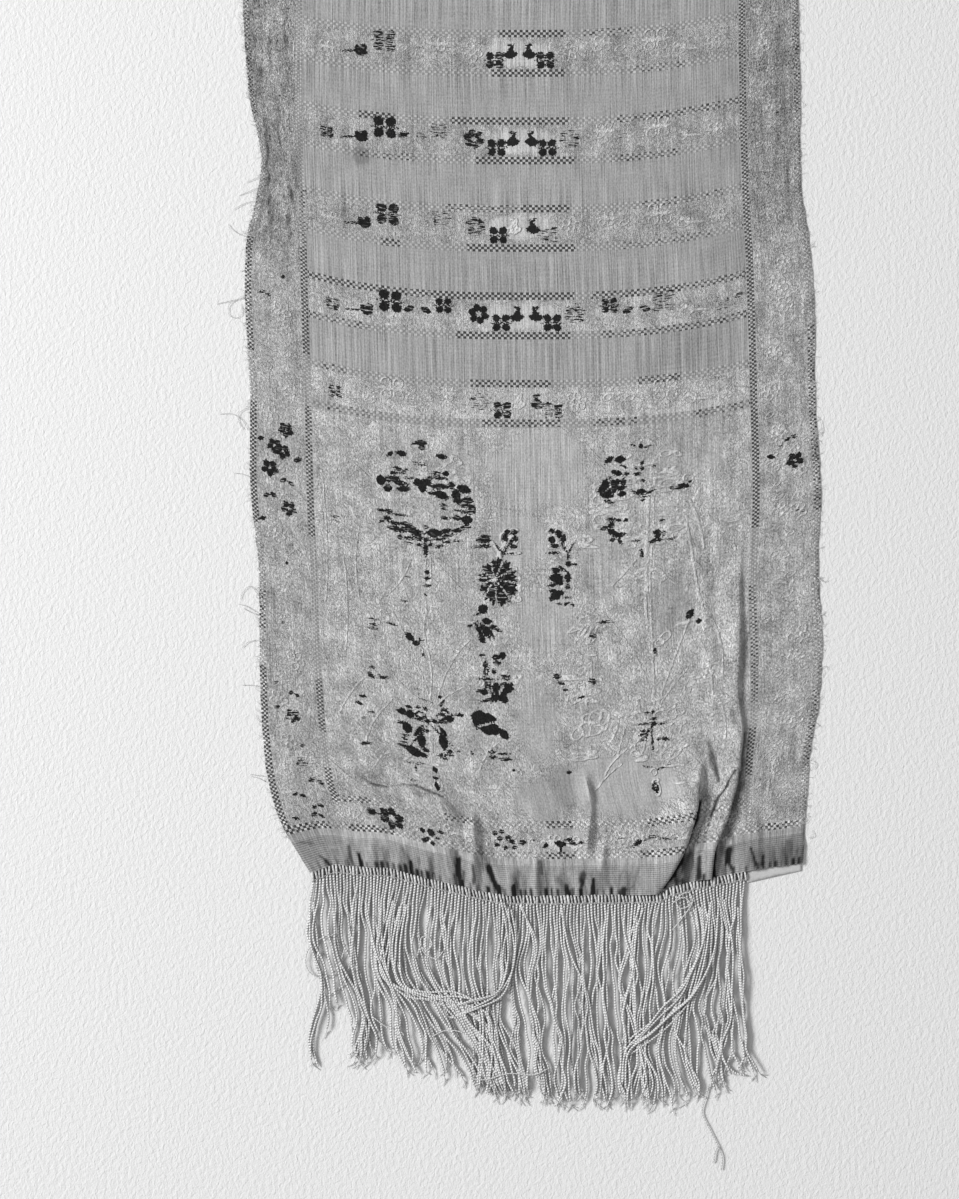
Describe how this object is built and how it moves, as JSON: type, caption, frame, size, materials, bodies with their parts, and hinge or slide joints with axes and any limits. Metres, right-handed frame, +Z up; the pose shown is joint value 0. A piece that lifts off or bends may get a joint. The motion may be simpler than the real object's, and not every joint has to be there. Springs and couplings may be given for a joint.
{
  "type": "silk sash",
  "caption": "Long narrow woven silk sash laid out flat, with patterned end panels, gathered hems and a twisted fringe at each end.",
  "frame": {"origin": "middle of the sash's bounding box, on the surface that it lies on", "axes": "+Z up from the surface, +Y along the sash away from the hem with the corner tape, +X to the right"},
  "size_m": [0.3718, 2.7586, 0.009],
  "materials": {
    "woven_silk": "satin",
    "twisted_silk": "satin",
    "pale_tape": "matte"
  },
  "bodies": {
    "root": {"woven_cloth": "woven_silk", "near_fringe": "twisted_silk", "far_fringe": "twisted_silk", "corner_tape": "pale_tape"}
  },
  "joints": []
}
